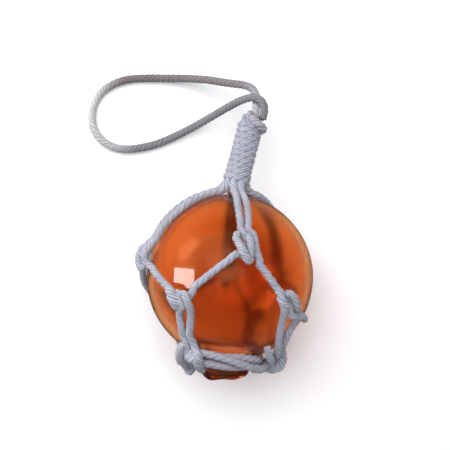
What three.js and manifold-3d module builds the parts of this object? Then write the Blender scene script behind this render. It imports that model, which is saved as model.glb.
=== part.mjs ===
// A glass float ball lying on its side: a blown glass ball in a knotted net of cotton cord, whose
// cords are gathered into a bound neck that carries a long hanging loop.
// Millimetres, +Z up, +Y along the net from the ring at the bottom to the neck. The origin is the
// middle of the small flat under the lowest knot, straight below the centre of the ball.
import * as THREE from "three";
import { mergeVertices } from "three/addons/utils/BufferGeometryUtils.js";
import Module from "manifold-3d";

const wasm = await Module();
wasm.setup();

// Glass ball, and the seal that closes it opposite the neck: a button, turned from this outline of
// radius and distance from the ball's centre, with a drip to one side
const BALL_RADIUS = 38;
const BALL_SEGMENTS = 26;
const BUTTON_OUTLINE = [
  [0, 30], [10.6, 33], [11.6, 40], [10.8, 43.2], [8.4, 45.6], [4.6, 46.6], [0, 46.6],
];
const BUTTON_SEGMENTS = 14;
const DRIP_RADIUS = 6.2;
const DRIP_SEGMENTS = 10;
const DRIP_PLACE = [-5.6, -41.6, 2];

// Net cord, single and in pairs, with the clearance between pieces that touch
const CORD = 4.0;
const PAIR_CORD = 3.7;
const PAIR_SPACING = 2.9;
const CORD_SIDES = 6;
const GAP = 0.35;
const SINGLE_STEP = 6;
const LOWER_PAIR_STEPS = 4;
const UPPER_PAIR_STEPS = 5;

// How far a knot's cords reach from its middle before the straight cords take over
const KNOT_REACH = 7.4;
const RING_KNOT_REACH = 6.4;
const RING_KNOT_HALF = 8.4;
const LEAD = 1.5;

// The lowest knot is pressed flat where the ball rests on it.
const REST_HEIGHT = BALL_RADIUS + 6;

// Knots of the net, in degrees: azimuth round the net's axis from straight up, latitude towards the
// neck, and by how many millimetres the pair above or below the knot stands apart halfway. The slack
// is how far the knot's right single cord sags halfway, in millimetres.
const UPPER_KNOTS = [
  { name: "front", azimuth: 9, latitude: 20.5, mirrored: false, parting: 0.5 },
  { name: "right", azimuth: 145, latitude: -2, mirrored: true, parting: 0.1 },
  { name: "under", azimuth: 182, latitude: 0, mirrored: false, parting: 0.1 },
  { name: "left", azimuth: 288, latitude: 10.5, mirrored: true, parting: 0 },
];
const MIDDLE_KNOTS = [
  { name: "right_front", azimuth: 39, latitude: -12.5, mirrored: true, parting: 0.8, slack: 8 },
  { name: "right_back", azimuth: 157, latitude: -31, mirrored: false, parting: 0.3, slack: 0 },
  { name: "left_back", azimuth: 233, latitude: -22, mirrored: true, parting: 0.3, slack: 0 },
  { name: "left_front", azimuth: 328, latitude: -13.5, mirrored: false, parting: 0.6, slack: 0 },
];
const RING_KNOTS = [
  { name: "right_front", azimuth: 71, latitude: -57, mirrored: true },
  { name: "right_back", azimuth: 152, latitude: -60, mirrored: false },
  { name: "left_back", azimuth: 234, latitude: -60, mirrored: true },
  { name: "left_front", azimuth: 314, latitude: -58.5, mirrored: false },
];

// Turns of each knot's cords: right and down from the middle of the knot, and height over the
// glass. A knot that joins two cords into a pair is the one that parts them, upside down.
const WRAPPING_CORD = [
  [-0.6, -3.2, 2.3], [1.6, 1.2, 2.3], [2.8, 4.6, 3.2], [1.2, 5.8, 4.8], [-0.7, 2.6, 5.8],
  [-2.5, -1.6, 5.7], [-5.0, -4.8, 3.8], [-5.2, -3.0, 2.3], [-4.2, 0.6, 2.3],
];
const WRAPPING_STEPS = 11;
const PASSING_CORD = [[2.4, -3.4, 4.2], [3.6, 0.4, 5.4], [4.4, 3.4, 3.9]];
const PASSING_STEPS = 4;
const HITCHED_CORD = [
  [-3.6, -4.6, 3.2], [-5.7, -1.4, 4.4], [-4.9, 3.0, 5.4], [-1.6, 5.8, 5.2], [0.8, 7.0, 4.4],
];
const CROSSING_CORD = [
  [1.0, -4.0, 4.2], [-1.6, -1.6, 6.4], [1.8, 0.6, 7.2], [4.6, 3.6, 6.2], [5.4, 6.6, 3.6],
];
const RING_KNOT_STEPS = 4;

// Ring at the bottom of the net: three cords twisted together, bowed in towards the button
const RING_BOW_LATITUDE = -66;
const RING_SPREAD = 3.0;
const RING_HEIGHT = 3.9;
const RING_RISE = 1.6;
const RING_TWIST = -3.6;
const RING_PHASE = 0.5;
const RING_POINTS = 6;
const RING_STEP = 8;
const RING_SIDES = 5;

// Bound neck: the foot of its whipping over the ball's pole, from the ball's centre, and the way it
// leans and droops
const NECK_FOOT = new THREE.Vector3(0.2, 42.9, 0);
const NECK_WAY = new THREE.Vector3(6.2, 32.1, -8).normalize();
const NECK_SEGMENTS = 9;
const WHIPPING_RADIUS = 6.1;
const WHIPPING_TURNS = 10;
const TURN_PITCH = 2.9;
const TURN_DEPTH = 0.7;
const COLLAR_RADIUS = 6.7;
const BUNDLE_FOOT = new THREE.Vector3(2.8, 69.8, -6.2);
const BUNDLE_WAY = new THREE.Vector3(0.9, 5.9, -1.0).normalize();
const BUNDLE_END = [[0, 0], [3.2, 0], [3.0, 2.0], [1.0, 6.4], [0, 6.8]];
const BUNDLE_SEGMENTS = 8;

// The cords spread from under the neck, from this far off its axis down to this latitude.
const ROOT_OFFSET = 3.3;
const ROOT_BEND = 3.4;
const ROOT_RISE = 0.5;
const ROOT_LATITUDE = 74;

// Hanging loop of one cord, from the neck's end down to the surface below and back
const LOOP_CORD = 3.8;
const LOOP_SIDES = 8;
const LOOP_STEPS = 33;
const LOOP_STARTS_INSIDE = [7.2, 69.5, 36.6];
const LOOP_ENDS_INSIDE = [10.4, 69.8, 38.4];
const HITCH_ROUTE = [
  [5.6, 71.4, 40.8], [8.6, 69.9, 42.6], [12.0, 68.9, 41.0], [13.0, 68.9, 37.4], [11.0, 69.6, 33.8],
];
const HITCH_STEPS = 4;
const LOOP_ROUTE = [
  [7.2, 73.2, 35.4], [7.2, 74.8, 34.9], [7.5, 78.0, 33.4], [7.6, 81.5, 31.0], [7.2, 85.3, 28.2],
  [5.2, 88.4, 26.0], [1.2, 90.0, 23.8], [-3.7, 90.6, 20.8], [-9.2, 91.4, 17.0], [-15.2, 92.4, 12.6],
  [-22.0, 93.0, 8.2], [-29.0, 93.2, 4.6], [-36.5, 93.0, 2.5], [-45.0, 92.6, 2.0], [-54.0, 91.6, 2.0],
  [-61.4, 88.9, 2.0], [-67.4, 84.2, 2.0], [-70.6, 78.2, 2.0], [-71.2, 71.8, 2.0], [-69.4, 65.6, 2.0],
  [-65.4, 61.0, 2.0], [-59.8, 58.2, 2.0], [-54.0, 57.6, 2.0], [-47.0, 58.6, 2.0], [-38.6, 61.2, 2.0],
  [-29.6, 65.6, 2.6], [-21.0, 70.4, 5.4], [-12.6, 75.4, 11.6], [-5.2, 79.6, 20.4], [1.2, 82.6, 28.8],
  [6.2, 83.6, 33.8], [10.2, 81.6, 36.2], [11.4, 78.2, 36.6], [11.0, 75.3, 37.0], [10.8, 73.6, 37.4],
];

const glass = new THREE.MeshStandardMaterial({ color: 0xc4561c, roughness: 0.05, metalness: 0 });
const netCotton = new THREE.MeshStandardMaterial({ color: 0xb4b6c2, roughness: 0.9, metalness: 0 });
const loopCotton = new THREE.MeshStandardMaterial({ color: 0xa9a6a8, roughness: 0.9, metalness: 0 });

const part = new THREE.Group();

function addPiece(name, solid, material) {
  const mesh = new THREE.Mesh(geometryOf(solid), material);
  mesh.name = name;
  part.add(mesh);
}

// A closed geometry as a solid, turned right side out where its faces point in
function solidOf(geometry) {
  const bare = geometry.index ? geometry.toNonIndexed() : geometry.clone();
  bare.deleteAttribute("normal");
  bare.deleteAttribute("uv");
  const merged = mergeVertices(bare, 1e-4);
  const vertProperties = merged.attributes.position.array;
  const triVerts = new Uint32Array(merged.index.array);
  const solid = new wasm.Manifold(new wasm.Mesh({ numProp: 3, vertProperties, triVerts }));
  if (solid.volume() > 0) return solid;
  triVerts.reverse();
  return new wasm.Manifold(new wasm.Mesh({ numProp: 3, vertProperties, triVerts }));
}

function geometryOf(solid) {
  const mesh = solid.getMesh();
  const geometry = new THREE.BufferGeometry();
  geometry.setAttribute("position", new THREE.BufferAttribute(mesh.vertProperties, 3));
  geometry.setIndex(new THREE.BufferAttribute(mesh.triVerts, 1));
  return geometry;
}

function joined(solids) {
  return solids.reduce((whole, solid) => whole.add(solid));
}

// A place round the ball's centre by azimuth and latitude, in degrees, and radius
function netPoint(azimuth, latitude, radius) {
  const around = THREE.MathUtils.degToRad(azimuth);
  const along = THREE.MathUtils.degToRad(latitude);
  const reach = radius * Math.cos(along);
  return new THREE.Vector3(reach * Math.sin(around), radius * Math.sin(along), reach * Math.cos(around));
}

const direction = (knot) => netPoint(knot.azimuth, knot.latitude, 1);
const rootDirection = (knot) => netPoint(knot.azimuth, ROOT_LATITUDE, 1);

// The place right and down of a knot's middle by two lengths along the glass, at a height over it
function overGlass(knot, [right, down, height]) {
  const across = netPoint(knot.azimuth + 90, 0, 1);
  const below = new THREE.Vector3().crossVectors(across, direction(knot));
  const out = direction(knot).multiplyScalar(BALL_RADIUS);
  out.addScaledVector(across, knot.mirrored ? -right : right).addScaledVector(below, down);
  return out.setLength(BALL_RADIUS + height);
}

// The place at a distance along the glass from one direction towards another, at a height over it,
// moved to the right of that way
function onTheWay(from, to, distance, height, right = 0) {
  const axis = new THREE.Vector3().crossVectors(from, to).normalize();
  const out = from.clone().applyAxisAngle(axis, distance / BALL_RADIUS).setLength(BALL_RADIUS);
  return out.addScaledVector(axis, -right).setLength(BALL_RADIUS + height);
}

// A tube of a cord's section along a smooth route
function tube(points, diameter, steps, sides = CORD_SIDES) {
  const section = new THREE.Shape();
  for (let i = 0; i < sides; i += 1) {
    const turn = (2 * Math.PI * (i + 0.5)) / sides;
    const corner = [(diameter / 2) * Math.cos(turn), (diameter / 2) * Math.sin(turn)];
    if (i === 0) section.moveTo(...corner);
    else section.lineTo(...corner);
  }
  section.closePath();
  const extrudePath = new THREE.CatmullRomCurve3(points, false, "centripetal");
  return solidOf(new THREE.ExtrudeGeometry(section, { steps, bevelEnabled: false, extrudePath }));
}

// A cord laid over the glass between two directions, clear of what stands at each end, and moved
// aside by one length at its ends and by another more halfway
function laidCord(from, to, clearFrom, clearTo, diameter, steps, aside, bow) {
  const length = BALL_RADIUS * from.angleTo(to) - clearFrom - clearTo;
  const points = [];
  for (let i = 0; i <= steps; i += 1) {
    const share = i / steps;
    const right = aside + bow * Math.sin(Math.PI * share) ** 2;
    points.push(onTheWay(from, to, clearFrom + length * share, diameter / 2 + GAP, right));
  }
  return tube(points, diameter, steps);
}

// Two such cords side by side that part by a little halfway
function laidPair(from, to, clearFrom, clearTo, steps, parting) {
  return joined([-1, 1].map((side) => laidCord(
    from, to, clearFrom, clearTo, PAIR_CORD, steps, (side * PAIR_SPACING) / 2, side * parting)));
}

// One cord between two knots of the net, which sags by its slack halfway
function singleCord(upper, middle, slack) {
  const clear = KNOT_REACH + GAP;
  const steps = Math.round((BALL_RADIUS * upper.angleTo(middle) - 2 * clear) / SINGLE_STEP);
  return laidCord(upper, middle, clear, clear, CORD, Math.max(steps, 3), 0, -slack);
}

// The straight start of a cord that leaves a knot towards another place, from its end inwards
function lead(from, towards, reach, diameter, right = 0) {
  const height = diameter / 2 + GAP;
  return [reach, reach - LEAD].map((distance) => onTheWay(from, towards, distance, height, right));
}

// A knot between a pair of cords and two single cords
function cordKnot(knot, pairTowards, leftTowards, rightTowards, joining) {
  const upright = joining ? -1 : 1;
  const side = knot.mirrored ? -upright : upright;
  const here = direction(knot);
  const place = ([right, down, height]) => overGlass(knot, [right, upright * down, height]);
  const pairLead = (right) => lead(here, pairTowards, KNOT_REACH, PAIR_CORD, right);
  const [near, far] = knot.mirrored ? [rightTowards, leftTowards] : [leftTowards, rightTowards];
  const nearLead = lead(here, near, KNOT_REACH, CORD).reverse();
  const farLead = lead(here, far, KNOT_REACH, CORD).reverse();
  const half = (side * PAIR_SPACING) / 2;
  const wrapping = [...pairLead(-half), ...WRAPPING_CORD.map(place), ...nearLead];
  const passing = [...pairLead(half), ...PASSING_CORD.map(place), ...farLead];
  return joined([tube(wrapping, CORD, WRAPPING_STEPS), tube(passing, CORD, PASSING_STEPS)]);
}

// A place on one of the ring's three cords, by the share of the way from one knot to the next
function ringPoint(from, to, share, cord) {
  const bow = Math.sin(Math.PI * share);
  const straight = THREE.MathUtils.lerp(from.latitude, to.latitude, share);
  const latitude = THREE.MathUtils.lerp(straight, RING_BOW_LATITUDE, bow);
  const around = (to.azimuth - from.azimuth + 360) % 360;
  const phase = RING_PHASE + (2 * Math.PI * cord) / 3 + RING_TWIST * (share - 0.5) * bow;
  const middle = { azimuth: from.azimuth + around * share, latitude, mirrored: false };
  const height = RING_HEIGHT + RING_RISE * Math.sin(phase);
  return overGlass(middle, [0, RING_SPREAD * Math.cos(phase), height]);
}

const ringLength = (from, to) => BALL_RADIUS * direction(from).angleTo(direction(to));

// Places along one of those cords between two shares of the way
function ringRoute(from, to, first, last, cord) {
  const places = [];
  for (let i = 0; i <= RING_POINTS; i += 1)
    places.push(ringPoint(from, to, THREE.MathUtils.lerp(first, last, i / RING_POINTS), cord));
  return places;
}

// The three cords of the ring between two of its knots, clear of both
function ringBand(from, to) {
  const length = ringLength(from, to);
  const steps = Math.round(length / RING_STEP);
  const first = (RING_KNOT_HALF + 1.5 * GAP) / length;
  return joined([0, 1, 2].map((cord) =>
    tube(ringRoute(from, to, first, 1 - first, cord), PAIR_CORD, steps, RING_SIDES)));
}

// A knot of the ring: the ring's three cords go through it, and the pair is hitched round them
function ringKnot(before, knot, after, pairTowards) {
  const side = knot.mirrored ? -1 : 1;
  const here = direction(knot);
  const place = (point) => overGlass(knot, point);
  const half = (side * PAIR_SPACING) / 2;
  const pairLead = (right) => lead(here, pairTowards, RING_KNOT_REACH, PAIR_CORD, right);
  const arriving = 1 - RING_KNOT_HALF / ringLength(before, knot);
  const leaving = RING_KNOT_HALF / ringLength(knot, after);
  const through = [0, 1, 2].map((cord) => tube([
    ...ringRoute(before, knot, arriving, 1, cord),
    ...ringRoute(knot, after, 0, leaving, cord).slice(1),
  ], PAIR_CORD, 2, RING_SIDES));
  const over = [
    [...pairLead(-half), ...HITCHED_CORD.map(place)],
    [...pairLead(half), ...CROSSING_CORD.map(place)],
  ].map((points) => tube(points, CORD, RING_KNOT_STEPS, RING_SIDES));
  return joined([...through, ...over]);
}

// Everything round the ball is worked out from its centre, and raised to its place here.
function addNetPiece(name, solid) {
  addPiece(name, solid.translate([0, 0, REST_HEIGHT]), netCotton);
}

function addBall() {
  const ball = new THREE.SphereGeometry(BALL_RADIUS, BALL_SEGMENTS, BALL_SEGMENTS / 2);
  const outline = BUTTON_OUTLINE.map(([across, along]) => new THREE.Vector2(across, -along));
  const button = new THREE.LatheGeometry(outline, BUTTON_SEGMENTS);
  const drip = new THREE.SphereGeometry(DRIP_RADIUS, DRIP_SEGMENTS, DRIP_SEGMENTS / 2);
  drip.translate(...DRIP_PLACE);
  const whole = joined([ball, button, drip].map(solidOf));
  addPiece("glass_ball", whole.translate([0, 0, REST_HEIGHT]), glass);
}

function addUpperNet() {
  const slab = new THREE.BoxGeometry(BALL_RADIUS, BALL_RADIUS, CORD);
  const floorCut = solidOf(slab.translate(0, 0, -REST_HEIGHT - CORD / 2));
  UPPER_KNOTS.forEach((knot, i) => {
    const [left, right] = [MIDDLE_KNOTS[(i + 3) % 4], MIDDLE_KNOTS[i]].map(direction);
    const root = rootDirection(knot);
    const clear = KNOT_REACH + GAP;
    const pair = laidPair(root, direction(knot), GAP, clear, UPPER_PAIR_STEPS, knot.parting);
    addNetPiece(`net_pair_upper_${knot.name}`, pair);
    const tied = cordKnot(knot, root, left, right, false);
    addNetPiece(`net_knot_upper_${knot.name}`, tied.subtract(floorCut));
  });
}

function addMiddleNet() {
  MIDDLE_KNOTS.forEach((knot, i) => {
    const here = direction(knot);
    const [left, right] = [UPPER_KNOTS[i], UPPER_KNOTS[(i + 1) % 4]].map(direction);
    const ring = direction(RING_KNOTS[i]);
    const [clear, clearRing] = [KNOT_REACH + GAP, RING_KNOT_REACH + GAP];
    addNetPiece(`net_cord_${knot.name}_from_left`, singleCord(left, here, 0));
    addNetPiece(`net_cord_${knot.name}_from_right`, singleCord(right, here, knot.slack));
    addNetPiece(`net_knot_middle_${knot.name}`, cordKnot(knot, ring, left, right, true));
    const pair = laidPair(here, ring, clear, clearRing, LOWER_PAIR_STEPS, knot.parting);
    addNetPiece(`net_pair_lower_${knot.name}`, pair);
  });
}

function addRing() {
  RING_KNOTS.forEach((knot, i) => {
    const [before, after] = [RING_KNOTS[(i + 3) % 4], RING_KNOTS[(i + 1) % 4]];
    const tied = ringKnot(before, knot, after, direction(MIDDLE_KNOTS[i]));
    addNetPiece(`net_knot_ring_${knot.name}`, tied);
    addNetPiece(`net_ring_after_${knot.name}`, ringBand(knot, after));
  });
}

// A solid turned from a profile, from its foot along an axis
function turned(profile, foot, way, segments) {
  const points = profile.map(([across, along]) => new THREE.Vector2(across, along));
  const lathe = new THREE.LatheGeometry(points, segments);
  lathe.applyQuaternion(new THREE.Quaternion().setFromUnitVectors(new THREE.Vector3(0, 1, 0), way));
  return solidOf(lathe.translate(foot.x, foot.y, foot.z));
}

// The whipping's turns and the slanted end of the bundle, in one body with the roots of the eight
// cords that spread from under it and with the hitch and the stubs of the loop's cord
function addNeck() {
  const length = WHIPPING_TURNS * TURN_PITCH;
  const profile = [[0, 0]];
  for (let turn = 0; turn < WHIPPING_TURNS; turn += 1) {
    const crest = turn === 0 ? COLLAR_RADIUS : WHIPPING_RADIUS;
    profile.push([WHIPPING_RADIUS - TURN_DEPTH, turn * TURN_PITCH], [crest, (turn + 0.5) * TURN_PITCH]);
  }
  profile.push([WHIPPING_RADIUS - TURN_DEPTH, length], [0, length]);
  const whipping = turned(profile, NECK_FOOT, NECK_WAY, NECK_SEGMENTS);
  const bundleEnd = turned(BUNDLE_END, BUNDLE_FOOT, BUNDLE_WAY, BUNDLE_SEGMENTS);
  const height = PAIR_CORD / 2 + GAP;
  const roots = UPPER_KNOTS.flatMap((knot) => [-1, 1].map((side) => {
    const spread = (side * PAIR_SPACING) / 2;
    const across = netPoint(knot.azimuth + 90, 0, spread);
    const foot = netPoint(knot.azimuth, 0, ROOT_OFFSET).add(across).add(NECK_FOOT);
    const end = rootDirection(knot);
    return tube([
      foot.clone().add(NECK_WAY), foot,
      onTheWay(end, NECK_FOOT, ROOT_BEND, height + ROOT_RISE, -spread),
      onTheWay(end, NECK_FOOT, 0, height, -spread),
    ], PAIR_CORD, 2);
  }));
  const raised = joined([whipping, bundleEnd, ...roots]).translate([0, 0, REST_HEIGHT]);
  const stubs = [LOOP_STARTS_INSIDE, LOOP_ENDS_INSIDE].map((inside, end) => {
    const outside = new THREE.Vector3(...LOOP_ROUTE.at(-end));
    const start = new THREE.Vector3(...inside);
    return tube([start, outside.lerp(start, GAP / outside.distanceTo(start))], LOOP_CORD, 1, LOOP_SIDES);
  });
  const hitch = tube(HITCH_ROUTE.map((place) => new THREE.Vector3(...place)), LOOP_CORD, HITCH_STEPS);
  addPiece("bound_neck", joined([raised, ...stubs, hitch]), netCotton);
}

function addLoop() {
  const route = LOOP_ROUTE.map((place) => new THREE.Vector3(...place));
  addPiece("hanging_loop", tube(route, LOOP_CORD, LOOP_STEPS, LOOP_SIDES), loopCotton);
}

addBall();
addUpperNet();
addMiddleNet();
addRing();
addNeck();
addLoop();
export default part;
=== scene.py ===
import math
import random

import bpy
import numpy as np
from mathutils import Matrix, Vector, noise


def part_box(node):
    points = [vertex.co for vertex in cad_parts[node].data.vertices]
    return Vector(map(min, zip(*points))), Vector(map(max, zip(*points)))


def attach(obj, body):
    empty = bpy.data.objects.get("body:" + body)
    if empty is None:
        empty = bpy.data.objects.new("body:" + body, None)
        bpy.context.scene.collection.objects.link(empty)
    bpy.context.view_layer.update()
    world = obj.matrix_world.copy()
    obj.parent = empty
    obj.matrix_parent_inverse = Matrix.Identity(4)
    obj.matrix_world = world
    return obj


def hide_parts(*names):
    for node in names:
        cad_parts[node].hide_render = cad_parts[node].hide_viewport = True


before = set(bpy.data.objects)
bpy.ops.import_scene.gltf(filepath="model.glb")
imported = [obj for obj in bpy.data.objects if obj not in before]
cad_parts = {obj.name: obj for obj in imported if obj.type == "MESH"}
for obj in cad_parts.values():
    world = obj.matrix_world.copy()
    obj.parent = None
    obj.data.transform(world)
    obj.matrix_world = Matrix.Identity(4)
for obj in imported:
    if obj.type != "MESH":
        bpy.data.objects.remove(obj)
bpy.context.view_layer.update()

# ---- The camera ---------------------------------------------------------------------------
# The float lies on its side, and the camera looks straight down on it from a little past the
# neck, turned a few degrees. Its height and lens keep the ball and the whole loop in view.
CAMERA_FROM_BALL = Vector((-0.0036, 0.0237, 0.700))
CAMERA_TURN = 3.4
LENS = 122.3
SENSOR_WIDTH = 36
NEAREST_SEEN = 0.01
scene = bpy.context.scene
ball_low, ball_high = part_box("glass_ball")
ball_centre = Vector((0, 0, (ball_low.z + ball_high.z) / 2))

camera = bpy.data.objects.new("camera", bpy.data.cameras.new("camera"))
camera.data.sensor_width = SENSOR_WIDTH
camera.data.lens = LENS
camera.data.clip_start = NEAREST_SEEN
camera.location = ball_centre + CAMERA_FROM_BALL
camera.rotation_euler = (0, 0, math.radians(CAMERA_TURN))
scene.collection.objects.link(camera)
scene.camera = camera
scene.view_settings.view_transform = "Standard"

# ---- The hanging loop ---------------------------------------------------------------------
# One limp cotton cord of four tight strands, smoother and greyer than the net. Both its ends are
# bound into the neck, and the loop between them drops to the table and lies there.
LOOP_CORD = 0.0038
LOOP_STRANDS = 4
LOOP_STRAND_SHARE = 0.60
LOOP_LAY = 0.0100
LOOP_UNEVENNESS = 0.03
LOOP_FLUFF = 0.00004
LOOP_ROUTE = [
    (0.0072, 0.0732, 0.0354), (0.0072, 0.0748, 0.0349), (0.0075, 0.0780, 0.0334),
    (0.0076, 0.0815, 0.0310), (0.0072, 0.0853, 0.0282), (0.0052, 0.0884, 0.0260),
    (0.0012, 0.0900, 0.0238), (-0.0037, 0.0906, 0.0208), (-0.0092, 0.0914, 0.0170),
    (-0.0152, 0.0924, 0.0126), (-0.0220, 0.0930, 0.0082), (-0.0290, 0.0932, 0.0046),
    (-0.0365, 0.0930, 0.0025), (-0.0450, 0.0926, 0.0020), (-0.0540, 0.0916, 0.0020),
    (-0.0614, 0.0889, 0.0020), (-0.0674, 0.0842, 0.0020), (-0.0706, 0.0782, 0.0020),
    (-0.0712, 0.0718, 0.0020), (-0.0694, 0.0656, 0.0020), (-0.0654, 0.0610, 0.0020),
    (-0.0598, 0.0582, 0.0020), (-0.0540, 0.0576, 0.0020), (-0.0470, 0.0586, 0.0020),
    (-0.0386, 0.0612, 0.0020), (-0.0296, 0.0656, 0.0026), (-0.0210, 0.0704, 0.0054),
    (-0.0126, 0.0754, 0.0116), (-0.0052, 0.0796, 0.0204), (0.0012, 0.0826, 0.0288),
    (0.0062, 0.0836, 0.0338), (0.0102, 0.0816, 0.0362), (0.0114, 0.0782, 0.0366),
    (0.0110, 0.0753, 0.0370), (0.0108, 0.0736, 0.0374),
]
SAMPLE = 0.0005
SWELLS_PER_METRE = 190.0
SWELL_STEP = 17.0
FLUFF_SCALE = 1100.0
FIBRE_LEAN = (1.2, 1.2, 3.1)


def smooth_route(points, spacing=SAMPLE):
    """Places along a smooth curve through the points, which may carry more values than x, y, z."""
    p = np.array(points, float)
    p = np.vstack([2 * p[0] - p[1], p, 2 * p[-1] - p[-2]])
    steps = np.linalg.norm(np.diff(p[:, :3], axis=0), axis=1)
    knot = np.concatenate([[0], np.cumsum(steps ** 0.5)])
    places = []
    for i in range(1, len(p) - 2):
        t0, t1, t2, t3 = knot[i - 1:i + 3]
        count = max(1, round(np.linalg.norm(p[i + 1, :3] - p[i, :3]) / spacing))
        for t in np.linspace(t1, t2, count, endpoint=False):
            a1 = ((t1 - t) * p[i - 1] + (t - t0) * p[i]) / (t1 - t0)
            a2 = ((t2 - t) * p[i] + (t - t1) * p[i + 1]) / (t2 - t1)
            a3 = ((t3 - t) * p[i + 1] + (t - t2) * p[i + 2]) / (t3 - t2)
            b1 = ((t2 - t) * a1 + (t - t0) * a2) / (t2 - t0)
            b2 = ((t3 - t) * a2 + (t - t1) * a3) / (t3 - t1)
            places.append(((t2 - t) * b1 + (t - t1) * b2) / (t2 - t1))
    return np.array(places + [p[-2]])


def add_node(tree, kind, inputs=None, **settings):
    """A node with its settings and inputs. An input is a plain value or another node's socket."""
    node = tree.nodes.new(kind)
    for name, value in settings.items():
        setattr(node, name, value)
    for socket, value in (inputs or {}).items():
        if isinstance(value, bpy.types.NodeSocket):
            tree.links.new(value, node.inputs[socket])
        else:
            node.inputs[socket].default_value = value
    return node


def add_math(tree, operation, *values):
    return add_node(tree, "ShaderNodeMath", dict(enumerate(values)), operation=operation).outputs[0]


def add_vector(tree, operation, *values):
    node = tree.nodes.new("ShaderNodeVectorMath")
    node.operation = operation
    for value, socket in zip(values, [s for s in node.inputs if s.enabled]):
        if isinstance(value, bpy.types.NodeSocket):
            tree.links.new(value, socket)
        else:
            socket.default_value = value
    return node.outputs[0]


def laid_rope_tree():
    """Lays strands round every path of a mesh of edges, as a ropewalk does. The strands carry how
    far along the cord they are and the place round the strand."""
    tree = bpy.data.node_groups.new("laid_rope", "GeometryNodeTree")
    face = tree.interface
    face.new_socket("Paths", in_out="INPUT", socket_type="NodeSocketGeometry")
    for name, kind, value in (
        ("Cord Diameter", "Float", 0.004), ("Strands", "Int", 3), ("Strand Share", "Float", 0.55),
        ("Lay Length", "Float", 0.012), ("Step", "Float", 0.0006), ("Strand Sides", "Int", 12),
        ("Unevenness", "Float", 0.06), ("Fluff", "Float", 0.00006), ("Fibre Density", "Float", 0.0),
        ("Fibre Length", "Float", 0.001), ("Fibre Radius", "Float", 0.00004),
        ("Floor Height", "Float", 0.0), ("Seed", "Int", 1), ("Finish", "Material", None),
    ):
        socket = face.new_socket(name, in_out="INPUT", socket_type="NodeSocket" + kind)
        if value is not None:
            socket.default_value = value
    face.new_socket("Rope", in_out="OUTPUT", socket_type="NodeSocketGeometry")
    given = tree.nodes.new("NodeGroupInput").outputs

    cord = add_node(tree, "GeometryNodeMeshToCurve", {"Mesh": given["Paths"]})
    cord = add_node(tree, "GeometryNodeResampleCurve",
                    {"Curve": cord.outputs[0], "Length": given["Step"]}, mode="LENGTH")
    along = add_node(tree, "GeometryNodeSplineParameter").outputs["Length"]
    cord = add_node(tree, "GeometryNodeStoreNamedAttribute",
                    {"Geometry": cord.outputs[0], "Name": "along", "Value": along},
                    data_type="FLOAT", domain="POINT")
    copies = add_node(tree, "GeometryNodeDuplicateElements",
                      {"Geometry": cord.outputs[0], "Amount": given["Strands"]}, domain="SPLINE")
    strand = copies.outputs["Duplicate Index"]

    def named(name):
        return add_node(tree, "GeometryNodeInputNamedAttribute", {"Name": name},
                        data_type="FLOAT").outputs[0]

    along = named("along")
    thickness = named("thickness")
    radius = add_math(tree, "MULTIPLY", given["Cord Diameter"], 0.5)
    radius = add_math(tree, "MULTIPLY", radius, thickness)
    strand_radius = add_math(tree, "MULTIPLY", radius, given["Strand Share"])
    turns = add_math(tree, "DIVIDE", along, given["Lay Length"])
    turns = add_math(tree, "SUBTRACT", add_math(tree, "DIVIDE", strand, given["Strands"]), turns)
    angle = add_math(tree, "MULTIPLY", add_math(tree, "ADD", turns, named("phase")), math.tau)
    normal = add_node(tree, "GeometryNodeInputNormal").outputs[0]
    tangent = add_node(tree, "GeometryNodeInputTangent").outputs[0]
    side = add_vector(tree, "CROSS_PRODUCT", tangent, normal)

    def scaled(vector, factor):
        node = add_node(tree, "ShaderNodeVectorMath", {0: vector}, operation="SCALE")
        tree.links.new(factor, node.inputs["Scale"])
        return node.outputs[0]

    offset = add_vector(tree, "ADD", scaled(normal, add_math(tree, "COSINE", angle)),
                        scaled(side, add_math(tree, "SINE", angle)))
    offset = scaled(offset, add_math(tree, "SUBTRACT", radius, strand_radius))
    laid = add_node(tree, "GeometryNodeSetPosition",
                    {"Geometry": copies.outputs[0], "Offset": offset})

    profile = add_node(tree, "GeometryNodeCurvePrimitiveCircle",
                       {"Resolution": given["Strand Sides"], "Radius": 1.0})
    place = add_node(tree, "GeometryNodeInputPosition").outputs[0]
    profile = add_node(tree, "GeometryNodeStoreNamedAttribute",
                       {"Geometry": profile.outputs[0], "Name": "round", "Value": place},
                       data_type="FLOAT_VECTOR", domain="POINT")
    drawn = add_math(tree, "ADD", add_math(tree, "MULTIPLY", along, SWELLS_PER_METRE),
                     add_math(tree, "MULTIPLY", strand, SWELL_STEP))
    swell = add_node(tree, "ShaderNodeTexNoise",
                     {"W": add_math(tree, "ADD", drawn, given["Seed"]), "Scale": 1.0,
                      "Detail": 1.0}, noise_dimensions="1D").outputs[0]
    swell = add_math(tree, "MULTIPLY", add_math(tree, "SUBTRACT", swell, 0.5), given["Unevenness"])
    scale = add_math(tree, "MULTIPLY", strand_radius,
                     add_math(tree, "ADD", 1.0, add_math(tree, "MULTIPLY", swell, 2.0)))
    swept = add_node(tree, "GeometryNodeCurveToMesh",
                     {"Curve": laid.outputs[0], "Profile Curve": profile.outputs[0],
                      "Scale": scale, "Fill Caps": True})
    fluff = add_node(tree, "ShaderNodeTexNoise",
                     {"Vector": place, "W": given["Seed"], "Scale": FLUFF_SCALE, "Detail": 1.0},
                     noise_dimensions="4D").outputs[0]
    fluff = add_math(tree, "MULTIPLY", add_math(tree, "SUBTRACT", fluff, 0.5), given["Fluff"])
    fluffed = add_node(tree, "GeometryNodeSetPosition",
                       {"Geometry": swept.outputs[0], "Offset": scaled(normal, fluff)})

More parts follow.
